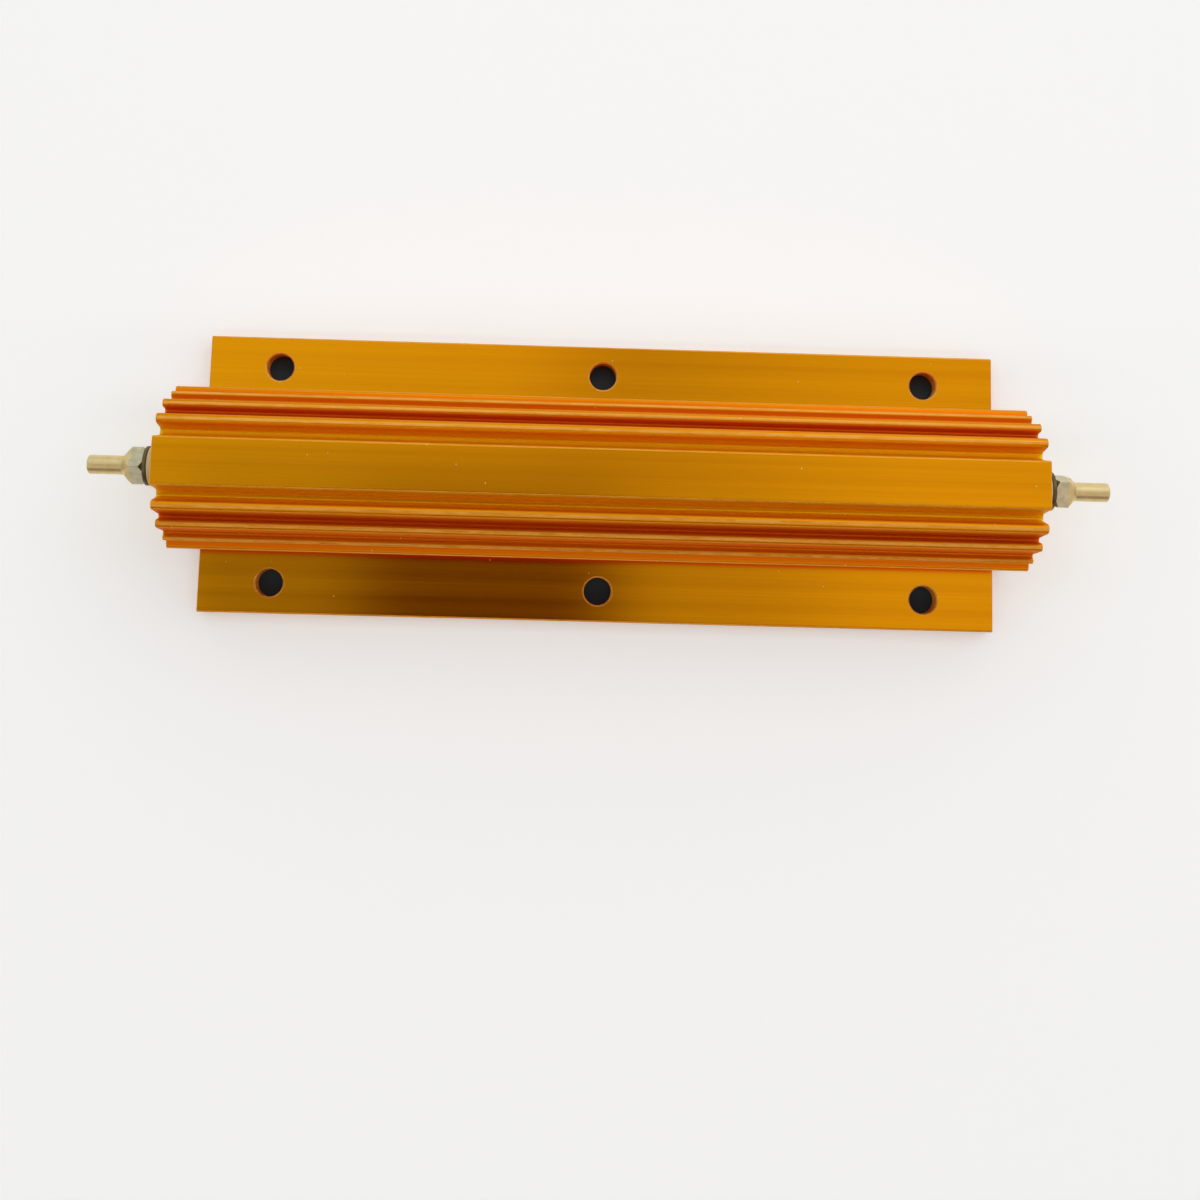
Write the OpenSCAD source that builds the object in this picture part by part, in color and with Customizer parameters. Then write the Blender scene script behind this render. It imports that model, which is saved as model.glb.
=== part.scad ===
// Aluminium housed wirewound power resistor with a terminal post at each end.
// Millimetres, +X along the body, +Z up. The origin is on the mounting face,
// half way between the terminals and half way across the flanges.

/* [Housing] */
// length of the finned body
body_l = 217.4; // [150:0.2:230]
// height from the mounting face to the printed flat
body_h = 42; // [36:0.5:56]
// width over the two mounting flanges
flange_w = 73; // [66:0.5:100]
// length of the flanges, milled back from the body at both ends
flange_l = 209; // [140:0.5:230]
// thickness of the flanges
flange_t = 5; // [3:0.25:8]
// width over the widest pair of fins
dome_w = 40.8; // [36:0.2:50]
// height of the bore axis above the mounting face
axis_z = 22; // [18:0.25:28]
// width of the flat on top of the body
top_flat_w = 11.8; // [8:0.2:14]
// bore for the resistance element
bore_d = 24; // [18:0.5:25]
// width of the blunt tip of each fin
fin_tip_w = 0.95; // [0.6:0.05:1.4]
// radius on the corners of the fins
fin_r = 0.28; // [0.1:0.02:0.4]
// radius where the body meets the flanges
root_r = 1; // [0.5:0.1:2]

/* [Mounting holes] */
// distance from hole to hole along one flange
hole_pitch = 86; // [50:0.5:110]
// distance between the two rows of holes
hole_span = 57; // [54:0.5:80]
// diameter of the mounting holes
hole_d = 7.2; // [4:0.1:9]
// break on the edges of the mounting holes
hole_chamfer = 0.35; // [0.1:0.05:0.8]

/* [Resistance element] */
// outside diameter of the ceramic core
core_d = 17; // [10:0.25:17.5]
// bore of the ceramic core
core_bore = 8.2; // [7:0.1:9]
// distance from each end of the ceramic core to the end of the body
core_inset = 16.7; // [14:0.1:30]
// diameter of the resistance wire
wire_d = 1.2; // [0.6:0.1:1.4]
// number of turns of wire on the core
turns = 26; // [10:1:30]
// sheet thickness of the pressed end caps
cap_t = 0.8; // [0.5:0.1:1]
// length of the end caps
cap_l = 12; // [8:0.5:16]

/* [Terminals] */
// length over the two terminals
overall_l = 258.8; // [250:0.2:340]
// diameter of the stud that each terminal post is screwed on
stud_d = 4; // [3:0.1:5]
// diameter of the stud's head inside the core
stud_head_d = 7.6; // [6:0.1:8]
// thickness of the stud's head
stud_head_t = 2; // [1:0.25:3]
// how far the ceramic bush stands out of the body
bush_out = 5.2; // [2:0.1:10]
// diameter of the bush outside the body
bush_d = 10.4; // [8:0.1:14]
// thickness of the bush's flange inside the bore
bush_flange_t = 4; // [2:0.25:8]
// how far the bush's flange sits inside the end of the bore
bush_recess = 0.6; // [0:0.1:2]
// outside diameter of the flat washer
washer_d = 10; // [8:0.1:14]
// thickness of the flat washer
washer_t = 1; // [0.5:0.1:1.6]
// width across the flats of the post's square foot
post_af = 6.9; // [6.5:0.1:9]
// diameter that the foot's corners are turned down to
post_corner_d = 9.5; // [8:0.1:12]
// length of the square foot, up to the cone
post_foot_l = 3.5; // [2.5:0.1:6]
// slope of the cone between the foot and the pin
post_cone = 48; // [35:1:60]
// diameter of the post's plain pin
pin_d = 4.8; // [3.5:0.1:5.4]
// turn of the foot on the left terminal
left_post_turn = 37.5; // [0:0.5:90]
// turn of the foot on the right terminal
right_post_turn = 17.5; // [0:0.5:90]

/* [Fits] */
// gap left round every fitted piece, on the radius
fit = 0.05; // [0.02:0.01:0.1]
// gap between the winding and the core it is wound on
wire_gap = 0.14; // [0.13:0.01:0.3]

/* [Hidden] */
ry = dome_w/2;                 // half width of the finned dome
rz = body_h - axis_z;          // its height above the bore axis
end_x = body_l/2;
trim_y = ry + 0.1;             // the flange ends are milled back to here
round_n = 4;                   // steps on a rounded corner

// fin tips as [y, z, direction the tip points in]
fin0 = [1.000*ry, axis_z + 0.020*rz, 20];
fin1 = [0.900*ry, axis_z + 0.240*rz, 52];
fin2 = [0.728*ry, axis_z + 0.625*rz, 74];
fin3 = [0.518*ry, axis_z + 0.885*rz, 80];
// the groove floors between them
floor0 = [0.868*ry, axis_z + 0.075*rz];
floor1 = [0.806*ry, axis_z + 0.205*rz];
floor2a = [0.655*ry, axis_z + 0.475*rz];
floor2b = [0.612*ry, axis_z + 0.490*rz];
floor3a = [0.407*ry, axis_z + 0.640*rz];
// foot of the wall beside the top flat, and the plain wall under the lowest fin
pad_foot = [top_flat_w/2 + 0.85, axis_z + 0.655*rz];
neck = [0.945*ry, axis_z - 0.22*rz];
wall_y = 0.945*ry;

core_l = body_l - 2*core_inset;
cap_in = core_d/2 + fit;
cap_out = cap_in + cap_t;
disc_x = core_l/2 + fit;       // inner face of an end cap's disc
cap_end = disc_x + cap_t*1.5;
coil_r = core_d/2 + wire_gap + wire_d/2;
coil_l = core_l - 2*cap_l - 2*wire_gap - wire_d;
tail_r = cap_out + fit + wire_d/2;
tail_in = disc_x - 0.35*cap_l; // the wire's tails end here, on the caps
cavity_r = tail_r + wire_d/2 + fit;
bush_in = end_x - bush_recess - bush_flange_t;
bush_end = end_x + bush_out;
washer_end = bush_end + washer_t;
post_in = washer_end + fit;
cone_in = post_in + post_foot_l;
cone_end = cone_in + (post_corner_d - pin_d)/2/tan(post_cone);
cone_blend = 0.9;              // hollow radius where the cone meets the pin
pin_in = cone_end + cone_blend*tan(post_cone/2);
tip_x = overall_l/2;
stud_end = cone_in + 0.2;      // the stud stops inside the foot
step_a = 360/18;               // steps in one turn of the coil

// part to show

// ---- helpers ----

// the two corners of a blunt tip, in the order the outline runs (upwards and inwards)
function tip(p) = [for (s = [-1, 1]) [p[0] - s*fin_tip_w/2*sin(p[2]), p[1] + s*fin_tip_w/2*cos(p[2])]];

// one corner of an outline, rounded to radius r
function corner(a, p, b, r) =
    r <= 0 ? [p] :
    let (u = (a - p)/norm(a - p), v = (b - p)/norm(b - p),
         half = acos(max(-1, min(1, u*v)))/2,
         q = r/tan(half),
         m = (u + v)/norm(u + v),
         c = p + m*r/sin(half),
         s = p + u*q - c, e = p + v*q - c,
         turn = asin(max(-1, min(1, (s[0]*e[1] - s[1]*e[0])/(r*r)))))
    [for (i = [0 : round_n]) let (t = turn*i/round_n)
        c + [s[0]*cos(t) - s[1]*sin(t), s[0]*sin(t) + s[1]*cos(t)]];

// every corner of a closed outline of [point, radius] pairs
function rounded(ps) = let (n = len(ps))
    [for (i = [0 : n - 1]) each corner(ps[(i + n - 1) % n][0], ps[i][0], ps[(i + 1) % n][0], ps[i][1])];

function with_r(ps, r) = [for (p = ps) [[p[0], p[1]], r]];
function mirrored(ps) = [for (i = [len(ps) - 1 : -1 : 0]) [[-ps[i][0][0], ps[i][0][1]], ps[i][1]]];

// right half of the extrusion, from the mounting face up to the top flat
half = concat(
    [[[flange_w/2, 0], 0.3], [[flange_w/2, flange_t], 0.55],
     [[wall_y, flange_t], root_r], [neck, 0.4]],
    with_r(tip(fin0), fin_r), [[floor0, 0.25]],
    with_r(tip(fin1), fin_r), [[floor1, 0.3]],
    with_r(tip(fin2), fin_r), [[floor2a, 0.25], [floor2b, 0.25]],
    with_r(tip(fin3), fin_r), [[floor3a, 0.3], [pad_foot, 0.6]],
    [[[top_flat_w/2, body_h], 0.45]]);

module along_x(l) {
    translate([-l/2, 0, 0]) rotate([90, 0, 90]) linear_extrude(height = l) children();
}

// one corner of a flange milled away, leaving the cutter's radius behind
module end_mill(r = 0.6) {
    far = flange_w;
    linear_extrude(height = 4*body_h, center = true) union() {
        translate([flange_l/2 + r, trim_y]) square([far, far]);
        translate([flange_l/2, trim_y + r]) square([far, far]);
        translate([flange_l/2 + r, trim_y + r]) circle(r = r, $fn = 48);
    }
}

module mount_hole(x, y) {
    translate([x, y, -1]) cylinder(d = hole_d, h = flange_t + 2, $fn = 64);
    translate([x, y, flange_t - hole_chamfer])
        cylinder(d1 = hole_d, d2 = hole_d + 4*hole_chamfer, h = 2*hole_chamfer, $fn = 64);
    translate([x, y, -hole_chamfer])
        cylinder(d1 = hole_d + 4*hole_chamfer, d2 = hole_d, h = 2*hole_chamfer, $fn = 64);
}

// a turned piece on the bore axis: pairs of [distance from the middle, radius]
module turned(ps, side) {
    translate([0, 0, axis_z]) rotate([0, side*90, 0])
        rotate_extrude($fn = 96) polygon([for (p = ps) [p[1], p[0]]]);
}

// quarter round on an outer edge, as the points of a turned outline
function edge(x, r, k) = [for (i = [0 : 4]) [x - k + k*sin(22.5*i), r - k + k*cos(22.5*i)]];

// ---- pieces ----

module housing() color([0.80, 0.50, 0.06]) difference() {
    along_x(body_l) polygon(rounded(concat(half, mirrored(half))));
    for (sx = [0, 1], sy = [0, 1]) mirror([sx, 0, 0]) mirror([0, sy, 0]) end_mill();
    for (x = [-hole_pitch, 0, hole_pitch], y = [-hole_span/2, hole_span/2]) mount_hole(x, y);
    translate([-end_x - 1, 0, axis_z]) rotate([0, 90, 0])
        cylinder(d = bore_d, h = body_l + 2, $fn = 96);
    for (s = [-1, 1]) translate([s*(end_x - 0.4), 0, axis_z]) rotate([0, s*90, 0])
        cylinder(d1 = bore_d, d2 = bore_d + 1.6, h = 0.8, $fn = 96);
}

module potting() color([0.82, 0.80, 0.74])
    translate([0, 0, axis_z]) rotate([0, 90, 0]) difference() {
        cylinder(d = bore_d - 2*fit, h = 2*(bush_in - fit), center = true, $fn = 96);
        cylinder(r = cavity_r, h = 2*(cap_end + fit), center = true, $fn = 96);
        cylinder(d = stud_d + 2*fit, h = 2*end_x, center = true, $fn = 96);
    }

module ceramic_core() color([0.93, 0.90, 0.82])
    translate([0, 0, axis_z]) rotate([0, 90, 0]) difference() {
        cylinder(d = core_d, h = core_l, center = true, $fn = 96);
        cylinder(d = core_bore, h = core_l + 2, center = true, $fn = 96);
    }

// level slice through a helical wire, turned once for each turn of the coil
module coil_slice() {
    pitch = coil_l/turns;
    sweep = 360*wire_d/2/pitch;
    polygon([for (i = [0 : 7]) let (a = i*45, w = sweep*cos(a), r = coil_r + wire_d/2*sin(a))
        [r*cos(w), r*sin(w)]]);
}

module resistance_wire() color([0.45, 0.43, 0.41])
    translate([0, 0, axis_z]) rotate([0, 90, 0]) union() {
        linear_extrude(height = coil_l, center = true, twist = -360*turns, segments = 8,
                       slices = round(turns*360/step_a)) rotate(-180*turns) coil_slice();
        for (s = [-1, 1]) rotate(s > 0 ? 360*turns/2 : -360*turns/2)
            translate([tail_r, 0, s > 0 ? coil_l/2 - wire_d/2 : -tail_in])
                cylinder(d = wire_d, h = tail_in - coil_l/2 + wire_d/2, $fn = 24);
    }

module end_cap(side) color([0.70, 0.70, 0.68])
    turned([[disc_x - cap_l, cap_in], [disc_x - cap_l, cap_out],
            [cap_end - 0.5, cap_out], [cap_end, cap_out - 0.5],
            [cap_end, stud_d/2 + fit], [disc_x, stud_d/2 + fit], [disc_x, cap_in]], side);

module terminal_stud(side) color([0.72, 0.70, 0.62])
    turned([[disc_x - fit - stud_head_t, 0], [disc_x - fit - stud_head_t, stud_head_d/2],
            [disc_x - fit, stud_head_d/2], [disc_x - fit, stud_d/2],
            [stud_end - 0.4, stud_d/2], [stud_end, stud_d/2 - 0.4], [stud_end, 0]], side);

module end_bush(side) color([0.93, 0.90, 0.80])
    turned(concat([[bush_in, stud_d/2 + 2*fit], [bush_in, bore_d/2 - 2*fit],
                   [end_x - bush_recess, bore_d/2 - 2*fit], [end_x - bush_recess, bush_d/2]],
                  edge(bush_end, bush_d/2, 0.6),
                  [[bush_end, stud_d/2 + 2*fit]]), side);

module flat_washer(side) color([0.62, 0.60, 0.50])
    turned([[bush_end + fit, stud_d/2 + 3*fit], [bush_end + fit, washer_d/2 - 0.15],
            [bush_end + fit + 0.15, washer_d/2], [washer_end - 0.15, washer_d/2],
            [washer_end, washer_d/2 - 0.15], [washer_end, stud_d/2 + 3*fit]], side);

// square foot, cone and plain pin turned from one square bar, drilled blind for the stud
module terminal_post(side, turn) color([0.70, 0.64, 0.46]) {
    bore = stud_d/2 + fit;
    difference() {
        intersection() {
            translate([0, 0, axis_z]) rotate([0, side*90, 0]) rotate(turn)
                translate([-post_af/2, -post_af/2, post_in])
                    cube([post_af, post_af, tip_x - post_in + 1]);
            turned(concat(
                [[post_in, 0], [post_in, post_af/2], [post_in + 0.9, post_corner_d/2],
                 [cone_in, post_corner_d/2]],
                [for (i = [0 : 6]) let (t = post_cone*(1 - i/6))
                    [pin_in - cone_blend*sin(t), pin_d/2 + cone_blend*(1 - cos(t))]],
                edge(tip_x, pin_d/2, 0.45),
                [[tip_x, 0]]), side);
        }
        turned([[post_in - 1, 0], [post_in - 1, bore], [stud_end + 0.3, bore],
                [stud_end + 0.3 + 0.6*bore, 0]], side);
    }
}

module left_end_cap() end_cap(-1);
module right_end_cap() end_cap(1);
module left_terminal_stud() terminal_stud(-1);
module right_terminal_stud() terminal_stud(1);
module left_end_bush() end_bush(-1);
module right_end_bush() end_bush(1);
module left_flat_washer() flat_washer(-1);
module right_flat_washer() flat_washer(1);
module left_terminal_post() terminal_post(-1, left_post_turn);
module right_terminal_post() terminal_post(1, right_post_turn);

housing();
potting();
ceramic_core();
resistance_wire();
left_end_cap();
right_end_cap();
left_terminal_stud();
right_terminal_stud();
left_end_bush();
right_end_bush();
left_flat_washer();
right_flat_washer();
left_terminal_post();
right_terminal_post();
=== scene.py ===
"""Aluminium housed power resistor: the housing's finished shape, the finishes, light and camera.

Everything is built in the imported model's own frame, in metres: +X along the body, +Z up
from the mounting face, which is on the floor. Sizes named in this file are in
millimetres unless their comment says otherwise, and MM turns them into metres.
"""

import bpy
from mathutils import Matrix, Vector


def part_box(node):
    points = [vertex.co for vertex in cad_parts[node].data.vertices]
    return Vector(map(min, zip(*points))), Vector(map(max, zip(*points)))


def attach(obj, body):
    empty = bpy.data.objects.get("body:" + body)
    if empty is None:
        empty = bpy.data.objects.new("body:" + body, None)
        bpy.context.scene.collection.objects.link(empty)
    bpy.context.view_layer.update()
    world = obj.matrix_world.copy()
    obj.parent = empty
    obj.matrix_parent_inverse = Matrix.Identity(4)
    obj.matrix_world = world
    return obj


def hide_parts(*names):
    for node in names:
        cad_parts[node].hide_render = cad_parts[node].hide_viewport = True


bl_info = {
    "name": "Aluminium Housed Power Resistor",
    "version": (1, 0, 0),
    "blender": (4, 5, 0),
    "location": "3D View > Sidebar > Resistor",
    "description": "Finishes a finned, flanged power resistor and sets up its stage",
    "category": "Object",
}

from math import cos, radians, sin, tan

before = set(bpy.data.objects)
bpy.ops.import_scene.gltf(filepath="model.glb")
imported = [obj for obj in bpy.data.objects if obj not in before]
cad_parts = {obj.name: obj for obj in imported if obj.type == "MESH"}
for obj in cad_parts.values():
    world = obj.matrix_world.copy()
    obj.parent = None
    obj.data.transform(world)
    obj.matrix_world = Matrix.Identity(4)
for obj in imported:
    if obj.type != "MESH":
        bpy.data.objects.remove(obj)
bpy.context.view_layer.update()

import bmesh
import bpy
from bpy.props import FloatProperty, FloatVectorProperty, PointerProperty
from mathutils import Matrix, Vector

MM = 0.001
_, HOUSING_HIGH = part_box("housing")
BODY_LENGTH = 2 * HOUSING_HIGH.x / MM
FLANGE_EDGE = HOUSING_HIGH.y / MM

# ---- sizes of the extrusion -------------------------------------------------

# fins: tip's distance from the middle plane and height, the way it points in degrees,
# its width and the radius of its corners
FINS = (
    (20.4, 22.4, 20.0, 0.95, 0.42),
    (18.36, 26.8, 52.0, 1.10, 0.50),
    (14.85, 34.5, 74.0, 1.90, 0.90),
    (10.57, 39.7, 80.0, 2.10, 1.00),
)
# corners of the groove's floor above each fin: distance, height and radius
FLOORS = (
    ((17.71, 23.5, 0.35),),
    ((16.44, 26.1, 0.45),),
    ((13.36, 31.5, 0.40), (12.48, 31.8, 0.40)),
    ((8.30, 34.8, 0.50), (6.75, 35.1, 0.80)),
)
TOP_EDGE = (5.9, 42.0, 0.55)
WALL = 19.278
WALL_TOP = (WALL, 17.6, 0.4)

FLANGE_TOP = 5.0
FLANGE_SETBACK = 4.2            # how far the flanges stop short of each end
FLANGE_BASE_RADIUS = 0.3
FLANGE_EDGE_RADIUS = 0.55
FLANGE_HOLLOW_RADIUS = 1.0      # of the hollow corner against the body
FLANGE_ROOT = 1.2               # how far that corner's face reaches up the wall
FLANGE_SUNK = 0.3               # how far the flange is let into the wall
FLANGE_PROUD = 0.01             # how far its root stands out of the wall

HOLE_PITCH = 86.0
HOLE_ROW = 28.5
HOLE_RADIUS = 3.6
HOLE_BREAK = 0.35
BORE_RADIUS = 12.0
BORE_BREAK = 0.4
AXIS_HEIGHT = 22.0
END_BREAK = 0.25
CUT_PAST_HOLE = 0.5             # how far a cutter runs past the face it opens
CUT_PAST_BORE = 0.8

CORNER_STEPS = 6
END_ANGLES = (0, 30, 60, 90)
HOLE_STEPS = 64
BORE_STEPS = 96
CUTTER_MERGE = 0.001
HOUSING_MERGE = 0.002
SHARP_ANGLE = 40
FACE_WEIGHT = 50

# where the square foot of each terminal post turns into its cone
FOOT_END = 118.45

# ---- places on the extrusion that the finish follows, and where it paints highlights and shade ---

# long edges, as distance and height, and how far their rubbed, paler colour reaches; that paler
# colour is partly a painted highlight along each edge
WORN_AND_HIGHLIT_EDGES = tuple(zip(
    [fin[:2] for fin in FINS] + [TOP_EDGE[:2], (FLANGE_EDGE, FLANGE_TOP)],
    (0.40, 0.46, 0.50, 0.50, 0.36, 0.50)))
# inside this share of the reach an edge takes the full paler colour: rubbed dye and painted
# highlight together
WORN_AND_HIGHLIT_CORE = 0.45                # share of the reach that is worn through
AMONG_FINS = ((8.3, 9.2), (21.5, 20.6))
# Painted shade: the grooves turn a deeper red with distance from the nearest edge, for the shade
# and bounced light in them; the narrow one beneath the second fin takes it too.
GROOVE_SHADE_DEPTH = (0.7, 2.6)       # distance from the nearest edge at which dye starts to pool
SHADE_POOL_PLACE = (18.7, 23.3)     # the narrow groove under the second fin
SHADE_POOL_REACH = (0.9, 1.5)
FINNED_UP = (17.0, 19.5)
# Painted highlight: a band of paler gold on the floors of the grooves beside the top flat, where
# light catches them
PALE_HIGHLIGHT_ACROSS = ((5.85, 6.0), (8.6, 9.4))
PALE_HIGHLIGHT_UP = (33.0, 34.5)
TOP_FLAT_ACROSS = (5.4, 5.9)
# a ring round each hole on the flanges takes the paler edge colour: a painted highlight on the rim,
# with some rubbing
RIM_HIGHLIGHT_OFFSET = 0.20
RIM_HIGHLIGHT_WIDTH = (0.12, 0.34)

LATHE_SPACING = 5200.0
FINISH_OF_NODE = {
    "housing": "gold_anodised_aluminium",
    "potting": "filling_cement",
    "ceramic_core": "core_ceramic",
    "resistance_wire": "drawn_resistance_wire",
    "left_end_cap": "pressed_cap_steel",
    "right_end_cap": "pressed_cap_steel",
    "left_terminal_stud": "plated_stud_steel",
    "right_terminal_stud": "plated_stud_steel",
    "left_end_bush": "cream_ceramic",
    "right_end_bush": "cream_ceramic",
    "left_flat_washer": "shaded_washer_plating",
    "right_flat_washer": "shaded_washer_plating",
    "left_terminal_post": "turned_post_brass",
    "right_terminal_post": "turned_post_brass",
}


# ---- settings a user would change -------------------------------------------

def colour(name, description, default):
    """A colour setting."""
    return FloatVectorProperty(name=name, description=description, default=default,
                               size=3, min=0.0, max=1.0, subtype="COLOR")


def share(name, description, default):
    """A setting from 0 to 1."""
    return FloatProperty(name=name, description=description, default=default,
                         min=0.0, max=1.0, subtype="FACTOR")


def brightness(name, description, default):
    """A setting for a level of light."""
    return FloatProperty(name=name, description=description, default=default, min=0.0)


class ResistorHousingSettings(bpy.types.PropertyGroup):
    gold: colour("Gold", "Colour of the gold anodising", (0.85, 0.322, 0.0008))
    gold_deep: colour("Deep gold", "Colour where the dye took more strongly", (0.72, 0.250, 0.0004))
    speck: colour("Speck", "Colour of the small specks of dust and bright metal", (1.0, 0.72, 0.33))
    glancing: colour("Glancing", "Colour of the finish when seen at a glancing angle",
                     (0.90, 0.36, 0.04))
    # Painted shade: this deep red laid in the grooves stands for their shade and the light bounced
    # about in them.
    shaded_groove: colour("Groove", "Colour deep in the grooves, where the dye pooled", (0.84, 0.19, 0.0))
    # Colour laid over the finned part of the section, redder than the flats.
    fin_gold: colour("Fin gold", "Colour of the fins, where the dye took more strongly",
                     (0.88, 0.30, 0.001))
    # Painted highlight: the paler gold of the band beside the top flat stands for the light it
    # catches.
    pale_gold_highlight: colour("Pale gold", "Colour beside the top flat, where the dye took lightly",
                      (1.0, 0.55, 0.006))
    # Painted highlight: this paler colour along the edges, the hole rims and the body's ends stands
    # for light caught on them, as well as for dye rubbed off; the next setting is its strength.
    worn_and_highlit: colour("Worn", "Colour where an edge has lost some of its dye", (1.0, 0.50, 0.10))
    wear_and_highlight: share("Wear", "How strongly the edges are worn", 0.8)
    roughness: share("Roughness", "Roughness of the flats", 0.12)
    fin_roughness: share("Fin roughness", "Roughness of the fins' flanks and of the grooves", 0.27)
    matt_metal: share("Fin metal", "How metallic the etched skin of the fins still looks", 0.62)
    coat: share("Sealing", "Strength of the clear sealing over the dye", 0.05)
    coat_roughness: share("Sealing roughness", "Roughness of the clear sealing", 0.14)
    sheen: share("Sheen", "Strength of the shine of the parts that look less metallic", 0.25)
    grain: share("Grain", "How much more the drawn surface scatters light across its length", 0.75)
    line_depth: FloatProperty(name="Line depth", description="Depth of the drawing lines",
                              default=0.0013 * MM, min=0.0, unit="LENGTH", precision=6)
    # width of the painted highlight, with rubbing, along the edges of the body's ends
    end_edge_highlight: FloatProperty(name="Edge break",
                              description="Width of the worn edge at the body's ends",
                              default=0.35 * MM, min=0.0, unit="LENGTH", precision=5)


class ResistorTerminalSettings(bpy.types.PropertyGroup):
    pin: colour("Pin", "Colour of the turned brass pins", (0.86, 0.68, 0.34))
    # The square feet are given a greyer colour than the pins.
    foot: colour("Foot", "Colour of the square feet, where the plating is left", (0.77, 0.70, 0.48))
    stud: colour("Stud", "Colour of the plated steel studs", (0.42, 0.41, 0.38))
    # Painted shade: the washers are coloured this dark to stand for the shadow they sit in, between
    # the terminal's foot and the ceramic beside it.
    washer_shade: colour("Washer", "Colour of the plated washers", (0.20, 0.155, 0.075))
    # Partly painted reflection: the cream of the ceramic is tinted towards gold, for the gold
    # body's light bounced onto it.
    bush_with_gold_bounce: colour("Bush", "Colour of the ceramic bushes", (0.80, 0.63, 0.34))
    pin_roughness: share("Pin roughness", "Roughness of the turned brass", 0.42)
    foot_roughness: share("Foot roughness", "Roughness of the plating", 0.40)


class ResistorElementSettings(bpy.types.PropertyGroup):
    cement: colour("Cement", "Colour of the filling cement", (0.56, 0.53, 0.45))
    core: colour("Core", "Colour of the ceramic core", (0.78, 0.74, 0.64))
    wire: colour("Wire", "Colour of the resistance wire", (0.21, 0.19, 0.175))
    cap: colour("Cap", "Colour of the end caps", (0.46, 0.46, 0.44))


class ResistorStageSettings(bpy.types.PropertyGroup):
    floor: colour("Floor", "Colour of the floor", (0.87, 0.89, 0.90))
    # Painted shade: a dark colour laid on the floor beneath the object, seen through the holes.
    underneath_shade: colour("Underneath", "Colour of the floor where the object stands on it",
                       (0.040, 0.060, 0.075))
    floor_size: FloatProperty(name="Floor size", description="Half width of the floor",
                              default=4.0, min=1.0, unit="LENGTH")
    glow: brightness("Glow", "How much of its own the floor adds to its colour", 0.29)
    sky: brightness("Sky", "Level of the soft light all round", 0.80)
    bright_far: brightness("Far band", "Extra light high up behind the object", 0.52)
    bright_near: brightness("Near band", "Extra light high up in front of the object", 1.80)
    near_tint: colour("Near tint", "Colour of the extra light in front", (1.0, 0.92, 0.80))
    dim_near: share("Near side", "How much of the soft light is left in front of the object", 0.13)
    shade: colour("Shade", "Colour of the dark patch of sky over the object", (0.08, 0.0, 0.0))
    softbox: FloatProperty(name="Softbox", description="Power of the long softbox",
                           default=1.0, min=0.0, subtype="POWER")
    lens: FloatProperty(name="Lens", description="Focal length of the camera",
                        default=45.0, min=10.0, subtype="DISTANCE_CAMERA")


# ---- the housing's shape ----------------------------------------------------

def mirrored(corners):
    """The same corners on the other side of the middle plane, still in order round the face."""
    return [(-across, up, radius) for across, up, radius in reversed(corners)]


def rounded_face(shape, corners):
    """A face across the body from (distance, height, radius) corners, each one rounded."""
    verts = [shape.verts.new((0.0, across * MM, up * MM)) for across, up, _ in corners]
    shape.faces.new(verts)
    points = [Vector(corner[:2]) for corner in corners]
    for i, (_, _, radius) in enumerate(corners):
        if radius > 0.0:
            half = (points[i - 1] - points[i]).angle(points[(i + 1) % len(points)] - points[i]) / 2
            bmesh.ops.bevel(shape, geom=[verts[i]], affect="VERTICES",
                            offset=radius * MM / tan(half), offset_type="OFFSET",
                            segments=CORNER_STEPS, profile=0.5, material=-1)


def finned_section():
    """The finned body's outline: one half up from the mounting face, then its mirror image."""
    half = [(WALL, 0.0, 0.0), WALL_TOP]
    for (across, up, way, width, radius), floors in zip(FINS, FLOORS):
        side = Vector((sin(radians(way)), -cos(radians(way)))) * width / 2
        half += [(across + side.x, up + side.y, radius), (across - side.x, up - side.y, radius)]
        half += floors
    half.append(TOP_EDGE)
    return half + mirrored(half)


def flange_section(side):
    """One flange's outline, with the hollow corner where it meets the body."""
    root, sunk, root_top = WALL + FLANGE_PROUD, WALL - FLANGE_SUNK, FLANGE_TOP + FLANGE_ROOT
    corners = [(sunk, 0.0, 0.0), (FLANGE_EDGE, 0.0, FLANGE_BASE_RADIUS),
               (FLANGE_EDGE, FLANGE_TOP, FLANGE_EDGE_RADIUS),
               (root, FLANGE_TOP, FLANGE_HOLLOW_RADIUS), (root, root_top, 0.0),
               (sunk, root_top, 0.0)]
    return corners if side > 0 else mirrored(corners)


def extruded(corners, length):
    """A bar of this section along X, with its ends' edges rounded over."""
    shape = bmesh.new()
    rounded_face(shape, corners)
    straight = length / 2 - END_BREAK
    bmesh.ops.translate(shape, verts=shape.verts, vec=(-straight * MM, 0.0, 0.0))
    first = shape.faces[:]
    made = bmesh.ops.extrude_face_region(shape, geom=first, use_keep_orig=True)["geom"]
    bmesh.ops.translate(shape, verts=[v for v in made if isinstance(v, bmesh.types.BMVert)],
                        vec=(2 * straight * MM, 0.0, 0.0))
    bmesh.ops.recalc_face_normals(shape, faces=shape.faces)
    # the end faces have many corners, the long faces between them four
    ends = first + [f for f in made if isinstance(f, bmesh.types.BMFace) and len(f.verts) > 4]
    for start, stop in zip(END_ANGLES, END_ANGLES[1:]):
        start, stop = radians(start), radians(stop)
        bmesh.ops.inset_region(shape, faces=ends, use_boundary=True, use_even_offset=True,
                               thickness=END_BREAK * (cos(start) - cos(stop)) * MM,
                               depth=END_BREAK * (sin(stop) - sin(start)) * MM)
    return shape


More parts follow.
